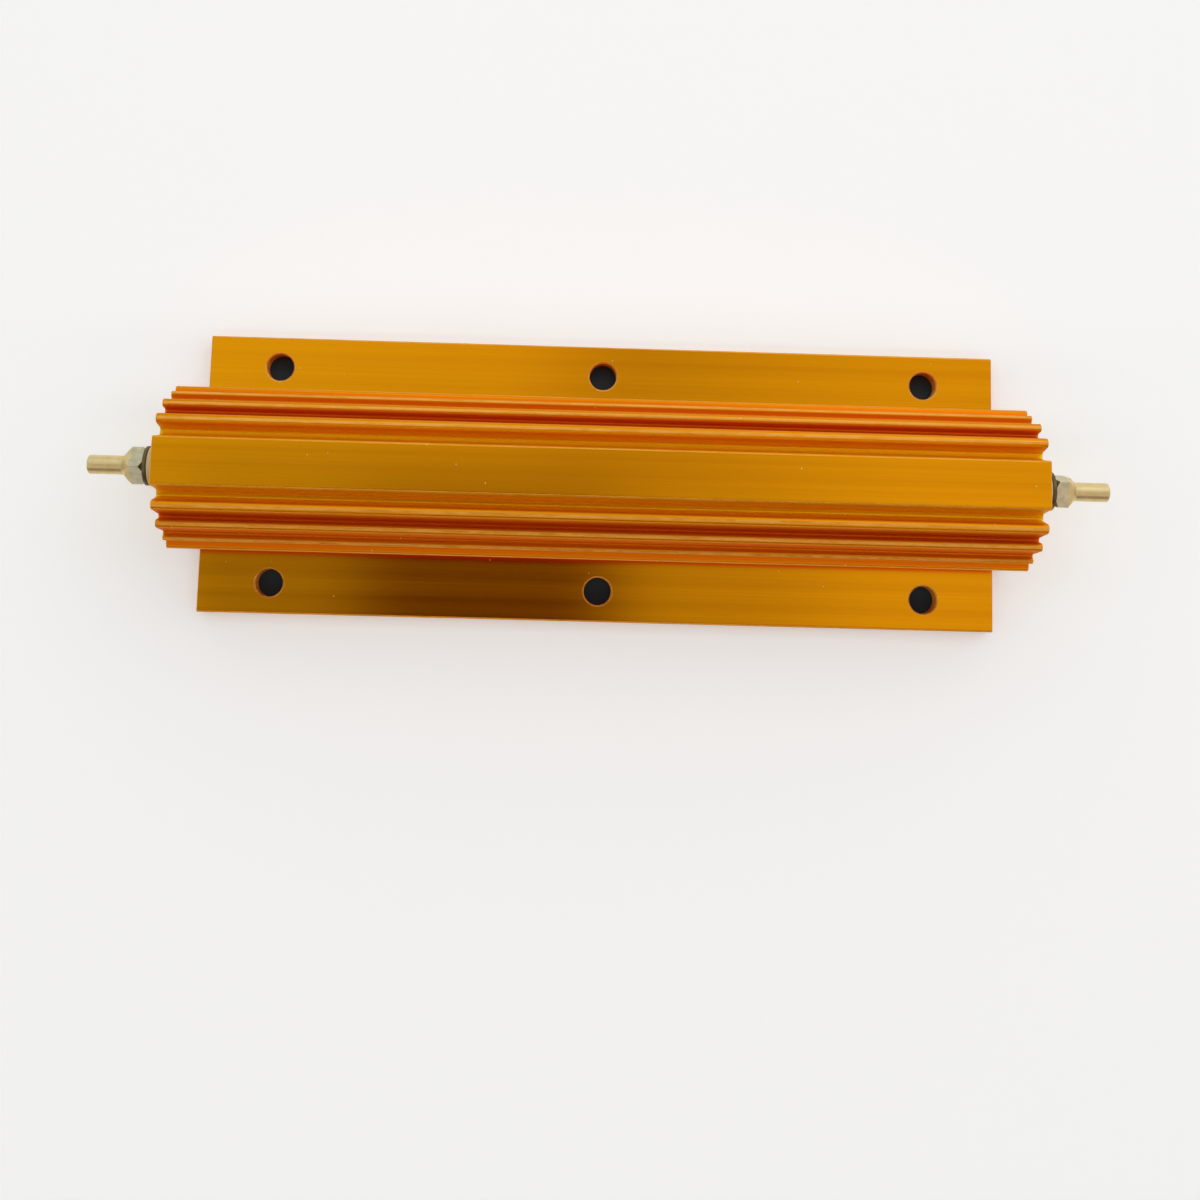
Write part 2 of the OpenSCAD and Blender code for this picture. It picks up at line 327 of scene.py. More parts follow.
def turned_cutter(shape, profile, centre, along_x, steps):
    """Adds a turned solid to the shape, from (height, radius) pairs, closed at both ends."""
    place = Matrix.Translation([c * MM for c in centre])
    if along_x:
        place @= Matrix.Rotation(radians(90), 4, "Y")
    closed = [(profile[0][0], 0.0), *profile, (profile[-1][0], 0.0)]
    verts = [shape.verts.new(place @ Vector((radius * MM, 0.0, height * MM)))
             for height, radius in closed]
    edges = [shape.edges.new(pair) for pair in zip(verts, verts[1:])]
    bmesh.ops.spin(shape, geom=verts + edges, cent=place.translation,
                   axis=place.to_3x3() @ Vector((0.0, 0.0, 1.0)),
                   angle=radians(360), steps=steps, use_merge=True)


def hole_and_bore_cutters():
    """The six drilled holes and the bore as solids, wider at their mouths to break the edges."""
    cutters = bmesh.new()
    mouth = HOLE_RADIUS + HOLE_BREAK + CUT_PAST_HOLE
    drill = ((-CUT_PAST_HOLE, mouth), (HOLE_BREAK, HOLE_RADIUS),
             (FLANGE_TOP - HOLE_BREAK, HOLE_RADIUS), (FLANGE_TOP + CUT_PAST_HOLE, mouth))
    for x in (-HOLE_PITCH, 0.0, HOLE_PITCH):
        for y in (-HOLE_ROW, HOLE_ROW):
            turned_cutter(cutters, drill, (x, y, 0.0), False, HOLE_STEPS)
    end = BODY_LENGTH / 2
    mouth = BORE_RADIUS + BORE_BREAK + CUT_PAST_BORE
    bore = ((-end - CUT_PAST_BORE, mouth), (-end + BORE_BREAK, BORE_RADIUS),
            (end - BORE_BREAK, BORE_RADIUS), (end + CUT_PAST_BORE, mouth))
    turned_cutter(cutters, bore, (0.0, 0.0, AXIS_HEIGHT), True, BORE_STEPS)
    bmesh.ops.remove_doubles(cutters, verts=cutters.verts, dist=CUTTER_MERGE * MM)
    bmesh.ops.recalc_face_normals(cutters, faces=cutters.faces)
    return cutters


def object_from(shape, name):
    """A new object in the scene that takes over the shape's mesh."""
    mesh = bpy.data.meshes.new(name)
    shape.to_mesh(mesh)
    shape.free()
    made = bpy.data.objects.new(name, mesh)
    bpy.context.scene.collection.objects.link(made)
    return made


def settle(body):
    """Turns the object's modifiers into its mesh."""
    bpy.context.view_layer.update()
    body.data = bpy.data.meshes.new_from_object(
        body.evaluated_get(bpy.context.evaluated_depsgraph_get()))
    body.modifiers.clear()


def combine(body, other, operation):
    """Joins the other object to the body, or cuts it out of it."""
    modifier = body.modifiers.new("combine", "BOOLEAN")
    modifier.operation = operation
    modifier.solver = "EXACT"
    modifier.object = other
    settle(body)
    bpy.data.objects.remove(other)


def build_housing():
    """The finned body and its two drilled flanges, with rounded fins and broken ends."""
    housing = object_from(extruded(finned_section(), BODY_LENGTH), "gold_housing")
    flange_length = BODY_LENGTH - 2 * FLANGE_SETBACK
    for side in (-1, 1):
        flange = object_from(extruded(flange_section(side), flange_length), "flange")
        combine(housing, flange, "UNION")
    combine(housing, object_from(hole_and_bore_cutters(), "cutters"), "DIFFERENCE")
    joined = bmesh.new()
    joined.from_mesh(housing.data)
    bmesh.ops.remove_doubles(joined, verts=joined.verts, dist=HOUSING_MERGE * MM)
    joined.to_mesh(housing.data)
    joined.free()
    housing.data.shade_smooth()
    housing.data.set_sharp_from_angle(angle=radians(SHARP_ANGLE))
    modifier = housing.modifiers.new("level", "WEIGHTED_NORMAL")
    modifier.keep_sharp = True
    modifier.weight = FACE_WEIGHT
    settle(housing)
    return housing


# ---- node helpers -----------------------------------------------------------

NODE_STEP = (180, 160)          # spacing of the nodes in the editor
NODE_ROWS = 4


class Graph:
    """Adds nodes to a tree and links them.

    A value is a number, a colour or another node's socket.
    """

    def __init__(self, tree):
        self.tree = tree
        self.column = 0

    def node(self, kind, inputs=None, **settings):
        """A new node with its settings, and its inputs fed by name or number."""
        made = self.tree.nodes.new(kind)
        made.location = (self.column * NODE_STEP[0], -(self.column % NODE_ROWS) * NODE_STEP[1])
        self.column += 1
        for key, value in settings.items():
            setattr(made, key, value)
        for key, value in (inputs or {}).items():
            self.feed(made.inputs[key], value)
        return made

    def feed(self, socket, value):
        """Links a socket to another node's, or sets its own value."""
        if isinstance(value, bpy.types.NodeSocket):
            self.tree.links.new(value, socket)
        elif socket.type == "RGBA":
            socket.default_value = (*value, 1.0)
        else:
            socket.default_value = value

    def math(self, operation, a, b=0.0, c=0.0, clamp=False):
        """The result of a maths node."""
        made = self.node("ShaderNodeMath", operation=operation, use_clamp=clamp)
        for socket, value in zip(made.inputs, (a, b, c)):
            self.feed(socket, value)
        return made.outputs[0]

    def times(self, product, *others):
        """The product of all its values."""
        for other in others:
            product = self.math("MULTIPLY", product, other)
        return product

    def rest(self, part):
        """What a part leaves of the whole."""
        return self.math("SUBTRACT", 1.0, part)

    def vector(self, operation, a, b, output="Vector"):
        """The result of a vector maths node."""
        made = self.node("ShaderNodeVectorMath", operation=operation)
        self.feed(made.inputs[0], a)
        self.feed(made.inputs[1], b)
        return made.outputs[output]

    def parts(self, vector):
        """A vector's X, Y and Z."""
        return self.node("ShaderNodeSeparateXYZ", {"Vector": vector}).outputs

    def joined(self, **parts):
        """A vector from its X, Y and Z."""
        return self.node("ShaderNodeCombineXYZ", parts).outputs[0]

    def ramp(self, value, low, high, to_low=0.0, to_high=1.0):
        """A smooth change from one level to another between two values."""
        made = self.node("ShaderNodeMapRange", {
            "Value": value, "From Min": low, "From Max": high,
            "To Min": to_low, "To Max": to_high}, interpolation_type="SMOOTHSTEP")
        return made.outputs["Result"]

    def ramp_mm(self, value, span, to_low=0.0, to_high=1.0):
        """A smooth change over a span that is given in millimetres."""
        return self.ramp(value, span[0] * MM, span[1] * MM, to_low, to_high)

    def mix(self, factor, a, b):
        """A colour between two, from a at 0 to b at 1, on the mix node's colour sockets."""
        made = self.node("ShaderNodeMix", {0: factor}, data_type="RGBA", clamp_factor=True)
        self.feed(made.inputs[6], a)
        self.feed(made.inputs[7], b)
        return made.outputs[2]

    def mapped(self, vector, scale):
        """A vector stretched along each axis."""
        return self.node("ShaderNodeMapping", {"Vector": vector, "Scale": scale}).outputs["Vector"]

    def noise(self, vector, scale, detail, rough=0.55):
        """Noise from 0 to 1."""
        return self.node("ShaderNodeTexNoise", {
            "Vector": vector, "Scale": scale, "Detail": detail, "Roughness": rough}).outputs["Fac"]

    def place(self):
        """Where the surface is on the object."""
        return self.node("ShaderNodeTexCoord").outputs["Object"]

    def group(self, tree, **inputs):
        """A group node's outputs: its inputs are named in lower case with underscores."""
        made = self.node("ShaderNodeGroup", node_tree=tree)
        for key, value in inputs.items():
            self.feed(made.inputs[key.replace("_", " ").capitalize()], value)
        return made.outputs


def new_group(name, inputs, outputs):
    """An empty shader group with its sockets: {name: (type, default)} in, {name: type} out."""
    tree = bpy.data.node_groups.new(name, "ShaderNodeTree")
    for key, (kind, default) in inputs.items():
        socket = tree.interface.new_socket(key, in_out="INPUT", socket_type="NodeSocket" + kind)
        if default is not None:
            socket.default_value = default
    for key, kind in outputs.items():
        tree.interface.new_socket(key, in_out="OUTPUT", socket_type="NodeSocket" + kind)
    graph = Graph(tree)
    source = graph.node("NodeGroupInput")
    sink = graph.node("NodeGroupOutput")
    return tree, graph, source.outputs, sink.inputs


def drawn_lines_group():
    """Fine and broad lines left along X by the die, from 0 to 1."""
    tree, graph, given, out = new_group("drawn_lines", {
        "Position": ("Vector", None), "Across": ("Float", 2600.0), "Along": ("Float", 9.0),
        "Broadness": ("Float", 0.13),
    }, {"Fine": "Float", "Broad": "Float"})
    stretch = graph.joined(X=given["Along"], Y=given["Across"], Z=given["Across"])
    fine = graph.vector("MULTIPLY", given["Position"], stretch)
    broad = graph.vector("MULTIPLY", fine, given["Broadness"])
    graph.feed(out["Fine"], graph.noise(fine, scale=1.0, detail=2.0, rough=0.6))
    graph.feed(out["Broad"], graph.noise(broad, scale=1.0, detail=2.0, rough=0.5))
    return tree


def specks_group():
    """Scattered specks: a mask that is 1 inside each speck."""
    tree, graph, given, out = new_group("specks", {
        "Position": ("Vector", None), "Spacing": ("Float", 600.0),
        "Size": ("Float", 0.10), "Share": ("Float", 0.3),
    }, {"Mask": "Float"})
    cells = graph.node("ShaderNodeTexVoronoi", {
        "Vector": given["Position"], "Scale": given["Spacing"], "Randomness": 1.0})
    inside = graph.math("LESS_THAN", cells.outputs["Distance"], given["Size"])
    pick = graph.node("ShaderNodeSeparateColor", {"Color": cells.outputs["Color"]}).outputs[0]
    graph.feed(out["Mask"], graph.times(inside, graph.math("LESS_THAN", pick, given["Share"])))
    return tree


def mottle_group():
    """Slow change of tone over a surface, from 0 to 1."""
    tree, graph, given, out = new_group("mottle", {
        "Position": ("Vector", None), "Scale": ("Float", 40.0), "Contrast": ("Float", 1.0),
    }, {"Tone": "Float"})
    tone = graph.noise(given["Position"], given["Scale"], detail=3.0, rough=0.5)
    swing = graph.times(graph.math("SUBTRACT", tone, 0.5), given["Contrast"])
    graph.feed(out["Tone"], graph.math("ADD", swing, 0.5, clamp=True))
    return tree


def turned_rings_group():
    """Fine rings round the X axis, as a lathe tool leaves them."""
    tree, graph, given, out = new_group("turned_rings", {
        "Position": ("Vector", None), "Spacing": ("Float", LATHE_SPACING),
    }, {"Rings": "Float"})
    rings = graph.node("ShaderNodeTexNoise", {
        "W": graph.parts(given["Position"])["X"], "Scale": given["Spacing"],
        "Detail": 2.0, "Roughness": 0.6}, noise_dimensions="1D")
    graph.feed(out["Rings"], rings.outputs["Fac"])
    return tree


def edge_wear_highlight_and_shade_group():
    """Rubbed edges with painted highlights along the extrusion, at its ends and round the hole
    rims, and painted shade by how deep in the grooves a place is.
    """
    tree, graph, given, out = new_group("edge_wear_highlight_and_shade", {
        "Position": ("Vector", None), "End": ("Float", 0.1), "Reach": ("Float", 0.0003),
    }, {"Long edges": "Float", "Depth": "Float", "Sawn edges": "Float", "Rims": "Float"})
    parts = graph.parts(given["Position"])
    side = graph.math("ABSOLUTE", parts["Y"])
    section = graph.joined(X=side, Y=parts["Z"])

    worn_and_highlit = 0.0
    nearest = 1.0
    # painted highlight, with rubbing, near each long edge
    for (across, up), reach in WORN_AND_HIGHLIT_EDGES:
        away = graph.vector("DISTANCE", section, (across * MM, up * MM, 0.0), "Value")
        near = graph.ramp_mm(away, (WORN_AND_HIGHLIT_CORE * reach, reach), 1.0, 0.0)
        worn_and_highlit = graph.math("MAXIMUM", worn_and_highlit, near)
        nearest = graph.math("MINIMUM", nearest, away)
    graph.feed(out["Long edges"], worn_and_highlit)

    # painted shade: a deeper red deep in the grooves, given out as Depth
    among_fins = graph.times(*(graph.ramp_mm(side, span) for span in AMONG_FINS))
    pooled = graph.vector("DISTANCE", section, [*(c * MM for c in SHADE_POOL_PLACE), 0.0], "Value")
    deep = graph.math("MAXIMUM", graph.ramp_mm(nearest, GROOVE_SHADE_DEPTH),
                      graph.ramp_mm(pooled, SHADE_POOL_REACH, 1.0, 0.0))
    graph.feed(out["Depth"], graph.times(deep, among_fins))

    # painted highlight along the edges of the sawn ends, in place of the light a broken edge
    # catches
    past = graph.math("SUBTRACT", graph.math("ABSOLUTE", parts["X"]), given["End"])
    past = graph.math("DIVIDE", past, given["Reach"])
    graph.feed(out["Sawn edges"], graph.ramp(past, -1.0, -0.15))

    # painted highlight, with rubbing, in a ring round each hole rim
    along = graph.math("WRAP", parts["X"], HOLE_PITCH * MM / 2, -HOLE_PITCH * MM / 2)
    from_row = graph.math("SUBTRACT", side, HOLE_ROW * MM)
    from_axis = graph.vector("LENGTH", graph.joined(X=along, Y=from_row), (0.0, 0.0, 0.0), "Value")
    from_rim = graph.math("SUBTRACT", from_axis, (HOLE_RADIUS + RIM_HIGHLIGHT_OFFSET) * MM)
    ring = graph.math("ABSOLUTE", from_rim)
    low = graph.math("LESS_THAN", parts["Z"], (FLANGE_TOP + 0.1) * MM)
    graph.feed(out["Rims"], graph.times(graph.ramp_mm(ring, RIM_HIGHLIGHT_WIDTH, 1.0, 0.0), low))
    return tree


GROUP_MAKERS = {
    "drawn_lines": drawn_lines_group,
    "specks": specks_group,
    "mottle": mottle_group,
    "turned_rings": turned_rings_group,
    "edge_wear_highlight_and_shade": edge_wear_highlight_and_shade_group,
}


def shared_groups():
    """The node groups that the finishes share, each made once."""
    return {name: bpy.data.node_groups.get(name) or maker() for name, maker in GROUP_MAKERS.items()}


def new_material(name):
    """An empty material: its graph, its Principled shader and its output node."""
    material = bpy.data.materials.new(name)
    material.use_nodes = True
    material.node_tree.nodes.clear()
    graph = Graph(material.node_tree)
    shader = graph.node("ShaderNodeBsdfPrincipled")
    output = graph.node("ShaderNodeOutputMaterial", {"Surface": shader.outputs["BSDF"]})
    return material, graph, shader, output


def bump(graph, shader, height, distance):
    """Gives the shader a relief of this depth, in metres."""
    made = graph.node("ShaderNodeBump", {"Height": height, "Distance": distance, "Strength": 1.0})
    graph.feed(shader.inputs["Normal"], made.outputs["Normal"])


def scaled(tint, factor):
    """The colour made darker or lighter by a factor."""
    return tuple(c * factor for c in tint)


# ---- finishes ---------------------------------------------------------------

def gold_base(graph, look, groups, place, streak, drawn, edges, depth, specks):
    """Colour of the dyed aluminium over the section, from the flats to the edges, with painted
    shade in the grooves and painted highlights beside the top flat, along the edges, round the rims
    and at the ends.
    """
    parts = graph.parts(place)
    across = graph.math("ABSOLUTE", parts["Y"])
    tone = graph.group(groups["mottle"], position=graph.mapped(place, scale=(0.25, 1.0, 1.0)),
                       scale=28.0, contrast=1.5)["Tone"]
    line_contrast = 2.6
    dye = graph.math("ADD", graph.times(graph.math("SUBTRACT", streak, 0.5), line_contrast),
                     tone, clamp=True)
    base = graph.mix(dye, look.gold_deep, look.gold)
    finned = graph.times(graph.ramp_mm(across, AMONG_FINS[0]),
                         graph.ramp_mm(parts["Z"], FINNED_UP), drawn)
    base = graph.mix(finned, base, graph.mix(dye, scaled(look.fin_gold, 0.86), look.fin_gold))
    # painted shade: a deeper red in the grooves
    base = graph.mix(graph.times(depth, drawn), base, look.shaded_groove)
    # painted highlight: a paler band beside the top flat
    start, stop = PALE_HIGHLIGHT_ACROSS
    pale_highlight = graph.times(graph.ramp_mm(across, start), graph.ramp_mm(across, stop, 1.0, 0.0),
                       graph.ramp_mm(parts["Z"], PALE_HIGHLIGHT_UP), drawn)
    base = graph.mix(pale_highlight, base, look.pale_gold_highlight)
    # painted highlight, with rubbed dye, along the edges, round the rims and at the ends
    base = graph.mix(edges, base, look.worn_and_highlit)
    speck_strength = 0.7
    return graph.mix(graph.times(specks, speck_strength), base, look.speck)


def gold_anodised_aluminium(look, groups):
    """Dyed, sealed extrusion: die lines along the length, sawn ends, rubbed edges with painted
    highlights, painted shade in the grooves, a few specks.
    """
    material, graph, shader, _ = new_material("gold_anodised_aluminium")
    place = graph.place()
    parts = graph.parts(place)
    normal = graph.parts(graph.node("ShaderNodeNewGeometry").outputs["Normal"])
    sawn = graph.ramp(graph.math("ABSOLUTE", normal["X"]), 0.75, 0.95)
    drawn = graph.rest(sawn)

    fine_share = 0.35
    lines = graph.group(groups["drawn_lines"], position=place)
    streak = graph.math("ADD", graph.times(lines["Fine"], fine_share),
                        graph.times(lines["Broad"], 1.0 - fine_share))
    specks = graph.group(groups["specks"], position=place,
                         spacing=420.0, size=0.075, share=0.09)["Mask"]

    worn_and_highlit = graph.group(groups["edge_wear_highlight_and_shade"], position=place,
                       end=HOUSING_HIGH.x, reach=look.end_edge_highlight)
    patches = graph.noise(graph.mapped(place, scale=(0.2, 1.0, 1.0)), scale=900.0, detail=2.0)
    # the painted highlights and rubbing of the edges, rims and ends, as one mask
    edges = graph.math("MAXIMUM", worn_and_highlit["Long edges"], worn_and_highlit["Rims"])
    edges = graph.math("MAXIMUM", edges, worn_and_highlit["Sawn edges"])
    edges = graph.times(edges, graph.ramp(patches, 0.30, 0.62, 0.45, 1.0), look.wear_and_highlight)
    graph.feed(shader.inputs["Base Color"], gold_base(
        graph, look, groups, place, streak, drawn, edges, worn_and_highlit["Depth"], specks))

    # the top flat and the flanges' faces are smoother and brighter than the fins
    upright = graph.math("ABSOLUTE", normal["Z"])
    across = graph.math("ABSOLUTE", parts["Y"])
    flat_places = graph.math("MAXIMUM", graph.ramp_mm(across, TOP_FLAT_ACROSS, 1.0, 0.0),
                             graph.math("LESS_THAN", parts["Z"], (FLANGE_TOP + 0.05) * MM))
    flat = graph.times(graph.ramp(upright, 0.97, 0.999), flat_places)
    wall_extra, line_swing, saw_extra, speck_extra = 0.18, 0.08, 0.12, 0.2
    steep = graph.ramp(upright, 0.10, 0.45, look.fin_roughness + wall_extra, look.fin_roughness)
    rough = graph.math("ADD", graph.times(flat, look.roughness),
                       graph.times(graph.rest(flat), steep))
    rough = graph.math("SUBTRACT", rough, line_swing / 2)
    for mask, extra in ((streak, line_swing), (sawn, saw_extra), (specks, speck_extra)):
        rough = graph.math("ADD", rough, graph.times(mask, extra))
    graph.feed(shader.inputs["Roughness"], rough)

    # where the edges carry the painted highlight they are made far less metallic, so its paler
    # colour shows
    flat_metal, highlit_edge_dulling = 0.97, 0.95
    metal = graph.math("ADD", look.matt_metal, graph.times(flat, flat_metal - look.matt_metal))
    metal = graph.times(metal, graph.rest(graph.times(edges, highlit_edge_dulling)))
    graph.feed(shader.inputs["Metallic"], metal)
    shader.inputs["Specular IOR Level"].default_value = look.sheen
    shader.inputs["Coat Weight"].default_value = look.coat
    shader.inputs["Coat Roughness"].default_value = look.coat_roughness
    shader.inputs["Specular Tint"].default_value = (*look.glancing, 1.0)
    shader.inputs["Anisotropic"].default_value = look.grain
    shader.inputs["Anisotropic Rotation"].default_value = 0.25
    graph.feed(shader.inputs["Tangent"], graph.node("ShaderNodeVectorTransform", {
        "Vector": (1.0, 0.0, 0.0)}, vector_type="VECTOR", convert_from="OBJECT",
        convert_to="WORLD").outputs[0])

    saw_marks = graph.noise(graph.mapped(place, scale=(1.0, 220.0, 4200.0)), scale=1.0, detail=2.0)
    saw_depth = 2.0
    height = graph.math("ADD", graph.times(streak, drawn),
                        graph.times(saw_marks, graph.times(sawn, saw_depth)))
    bump(graph, shader, height, look.line_depth)
    return material


def turned_metal(name, tint, roughness, groups, ring_depth, tarnish=0.22):
    """A plated or plain turned metal with rings round the terminal axis and a slow tarnish."""
    material, graph, shader, _ = new_material(name)
    place = graph.place()
    tone = graph.group(groups["mottle"], position=place, scale=420.0, contrast=1.8)["Tone"]
    rings = graph.group(groups["turned_rings"], position=place, spacing=LATHE_SPACING)["Rings"]
    ring_swing = 0.12
    graph.feed(shader.inputs["Base Color"], graph.mix(tone, scaled(tint, 1.0 - tarnish), tint))
    graph.feed(shader.inputs["Roughness"],
               graph.math("ADD", roughness - ring_swing / 2, graph.times(rings, ring_swing)))
    shader.inputs["Metallic"].default_value = 1.0
    bump(graph, shader, rings, ring_depth * MM)
    return material


def turned_post_brass(look, groups):
    """Brass pin and cone, with a greyer colour on the square foot."""
    material, graph, shader, _ = new_material("turned_post_brass")
    place = graph.place()
    tone = graph.group(groups["mottle"], position=place, scale=520.0, contrast=2.0)["Tone"]
    rings = graph.group(groups["turned_rings"], position=place, spacing=LATHE_SPACING)["Rings"]
    bar_lines = graph.noise(graph.mapped(place, scale=(120.0, 2600.0, 2600.0)),
                            scale=1.0, detail=2.0)
    out = graph.math("ABSOLUTE", graph.parts(place)["X"])
    turning = (FOOT_END - 0.15, FOOT_END + 0.10)
    turned_down = graph.ramp_mm(out, turning)
    foot = graph.mix(tone, scaled(look.foot, 0.66), look.foot)
    pin = graph.mix(tone, scaled(look.pin, 0.84), look.pin)
    graph.feed(shader.inputs["Base Color"], graph.mix(turned_down, foot, pin))
    rough = graph.ramp_mm(out, turning, look.foot_roughness, look.pin_roughness)
    ring_swing = 0.08
    graph.feed(shader.inputs["Roughness"], graph.math("ADD", rough, graph.times(rings, ring_swing)))
    shader.inputs["Metallic"].default_value = 1.0
    bump(graph, shader, graph.mix(turned_down, bar_lines, rings), 0.0014 * MM)
    return material


def plated_stud_steel(look, groups):
    """Plated steel of the studs inside the terminals."""
    return turned_metal("plated_stud_steel", look.stud, look.foot_roughness, groups,
                        ring_depth=0.0008)


def shaded_washer_plating(look, groups):
    """Plating of the flat washers, darkened as painted shade for the shadow they sit in beside the
    terminal's foot, with more tarnish.
    """
    return turned_metal("shaded_washer_plating", look.washer_shade, look.foot_roughness + 0.08, groups,
                        ring_depth=0.0008, tarnish=0.35)


def drawn_resistance_wire(look, groups):
    """Dull drawn wire of the winding."""
    return turned_metal("drawn_resistance_wire", look.wire, 0.42, groups,
                        ring_depth=0.0006, tarnish=0.35)


def pressed_cap_steel(look, groups):
    """Plated steel of the caps on the core."""
    return turned_metal("pressed_cap_steel", look.cap, 0.34, groups, ring_depth=0.001)


def matt_mineral(name, tint, roughness, groups, grain, depth, dark=0.82):
    """Ceramic or cement: a fine grain with a slow change of tone."""
    material, graph, shader, _ = new_material(name)
    place = graph.place()
    tone = graph.group(groups["mottle"], position=place, scale=260.0, contrast=1.4)["Tone"]
    fine = graph.noise(place, grain, detail=4.0, rough=0.65)
    tone_share, grain_swing = 0.6, 0.16
    mixed = graph.math("ADD", graph.times(tone, tone_share), graph.times(fine, 1.0 - tone_share))
    graph.feed(shader.inputs["Base Color"], graph.mix(mixed, scaled(tint, dark), tint))
    graph.feed(shader.inputs["Roughness"],
               graph.math("ADD", roughness - grain_swing / 2, graph.times(fine, grain_swing)))
    bump(graph, shader, fine, depth * MM)
    return material


def cream_ceramic(look, groups):
    """Smooth cream ceramic of the end bushes, tinted towards gold as a painted reflection of the
    gold body.
    """
    return matt_mineral("cream_ceramic", look.bush_with_gold_bounce, 0.42, groups, grain=3000.0, depth=0.010)


def filling_cement(look, groups):
    """Coarse matt cement round the winding."""
    return matt_mineral("filling_cement", look.cement, 0.9, groups,
                        grain=1500.0, depth=0.10, dark=0.7)


def core_ceramic(look, groups):
    """Unglazed ceramic of the wound core."""
    return matt_mineral("core_ceramic", look.core, 0.6, groups, grain=2600.0, depth=0.02)


FINISH_MAKERS = {
    "gold_anodised_aluminium": gold_anodised_aluminium,
    "turned_post_brass": turned_post_brass,
    "plated_stud_steel": plated_stud_steel,
    "shaded_washer_plating": shaded_washer_plating,
    "cream_ceramic": cream_ceramic,
    "filling_cement": filling_cement,
    "core_ceramic": core_ceramic,
    "drawn_resistance_wire": drawn_resistance_wire,
    "pressed_cap_steel": pressed_cap_steel,
}


def dress(look, *finishes):
    """Gives the CAD nodes that take these finishes their materials. The meshes stay as they are."""
    groups = shared_groups()
    for node, finish in FINISH_OF_NODE.items():
        if finish not in finishes:
            continue
        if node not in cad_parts:
            raise RuntimeError(f"the model has no node named {node}")
        material = bpy.data.materials.get(finish) or FINISH_MAKERS[finish](look, groups)
        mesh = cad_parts[node].data
        mesh.materials.clear()
        mesh.materials.append(material)


# ---- stage ------------------------------------------------------------------

FLOOR_DROP = 0.05
# Painted shade: the floor is coloured dark beneath the flanges and the body, so the holes look into
# shade
SHADE_UNDER_ALONG = (99.0, 101.0)     # where the dark floor under the flanges ends
SHADE_UNDER_ACROSS = (33.5, 35.0)

# in metres: the long softbox and the camera, whose axes point right, up and back
SOFTBOX_PLACE = (0.1, 0.62, 0.72)
SOFTBOX_AIM = (0.0, 0.0, 0.02)
SOFTBOX_SIZE = (1.3, 0.30)
CAMERA_PLACE = (-0.009256, -0.027429, 0.402352)
CAMERA_AXES = ((0.999341, 0.026387, 0.024920),
               (-0.029266, 0.991940, 0.123279),
               (-0.021466, -0.123927, 0.992059))
CAMERA_SENSOR = 36.0
CAMERA_SHIFT = -1.0 / 6.0
CAMERA_NEAREST = 0.01

# Bands of the sky. A direction leans from straight up by a tangent, along the body (x) and
# away from the camera's side (y). Each band is the lean where it starts and ends, and the
# levels there where they aren't 0 and 1.
LOWEST_UP = 0.02
OVERHEAD = 0.1
LEVEL_ALONG = (-0.05, 0.27, 0.75, 1.06)
FAR_ALONG = (0.06, -0.05, -0.05, 0.42)
FAR_FROM = (0.09, 0.13)
FAR_FADE = (0.20, 0.40, 1.0, 0.60)
HIGH_FAR_FROM = (0.22, 0.45)
HIGH_FAR_LEFT = (-0.21, -0.12)
HIGH_FAR_GAP = 0.03             # the high far band opens on both sides of this lean
HIGH_FAR_GAP_EDGE = (0.03, 0.14)
DIM_FROM = (-0.08, -0.38)
DIM_GREEN_LOSS = 0.45
GREEN_ALONG = (-0.25, 0.05, 1.10, 1.0)
NEAR_BAND = ((-0.47, -0.60), (-1.20, -0.80))
SHADE_ALONG = ((-0.17, -0.10, 0.50, 1.0), (0.070, 0.0, 0.24, 1.0), (0.22, 0.12), (-0.26, -0.235))
SHADE_AWAY = ((0.060, 0.024), (-0.50, -0.35))


def add_floor(look):
    """A large, nearly white floor, with painted shade where the object stands on it, and open when
    seen from below.
    """
    shape = bmesh.new()
    bmesh.ops.create_grid(shape, x_segments=1, y_segments=1, size=look.floor_size)
    bmesh.ops.translate(shape, verts=shape.verts, vec=(0.0, 0.0, -FLOOR_DROP * MM))
    floor = object_from(shape, "floor")
    material, graph, shader, output = new_material("pale_floor")
    parts = graph.parts(graph.place())
    # painted shade beneath the object
    under = graph.times(graph.ramp_mm(graph.math("ABSOLUTE", parts["X"]), SHADE_UNDER_ALONG, 1.0, 0.0),
                        graph.ramp_mm(graph.math("ABSOLUTE", parts["Y"]), SHADE_UNDER_ACROSS, 1.0, 0.0))
    graph.feed(shader.inputs["Base Color"], graph.mix(under, look.floor, look.underneath_shade))
    shader.inputs["Roughness"].default_value = 0.9
    shader.inputs["Specular IOR Level"].default_value = 0.0
    path = graph.node("ShaderNodeLightPath").outputs
    seen = graph.math("ADD", path["Is Camera Ray"], path["Is Glossy Ray"])
    seen = graph.math("ADD", seen, path["Is Transmission Ray"], clamp=True)
    # no glow on the painted shade beneath the object
    glow = graph.node("ShaderNodeEmission", {
        "Color": (1.0, 1.0, 1.0), "Strength": graph.times(seen, graph.rest(under), look.glow)})
    both = graph.node("ShaderNodeAddShader", {0: shader.outputs["BSDF"], 1: glow.outputs[0]})
    open_below = graph.node("ShaderNodeMixShader", {
        0: graph.node("ShaderNodeNewGeometry").outputs["Backfacing"],
        1: both.outputs[0],
        2: graph.node("ShaderNodeBsdfTransparent").outputs[0]})
    graph.feed(output.inputs["Surface"], open_below.outputs[0])
    floor.data.materials.append(material)


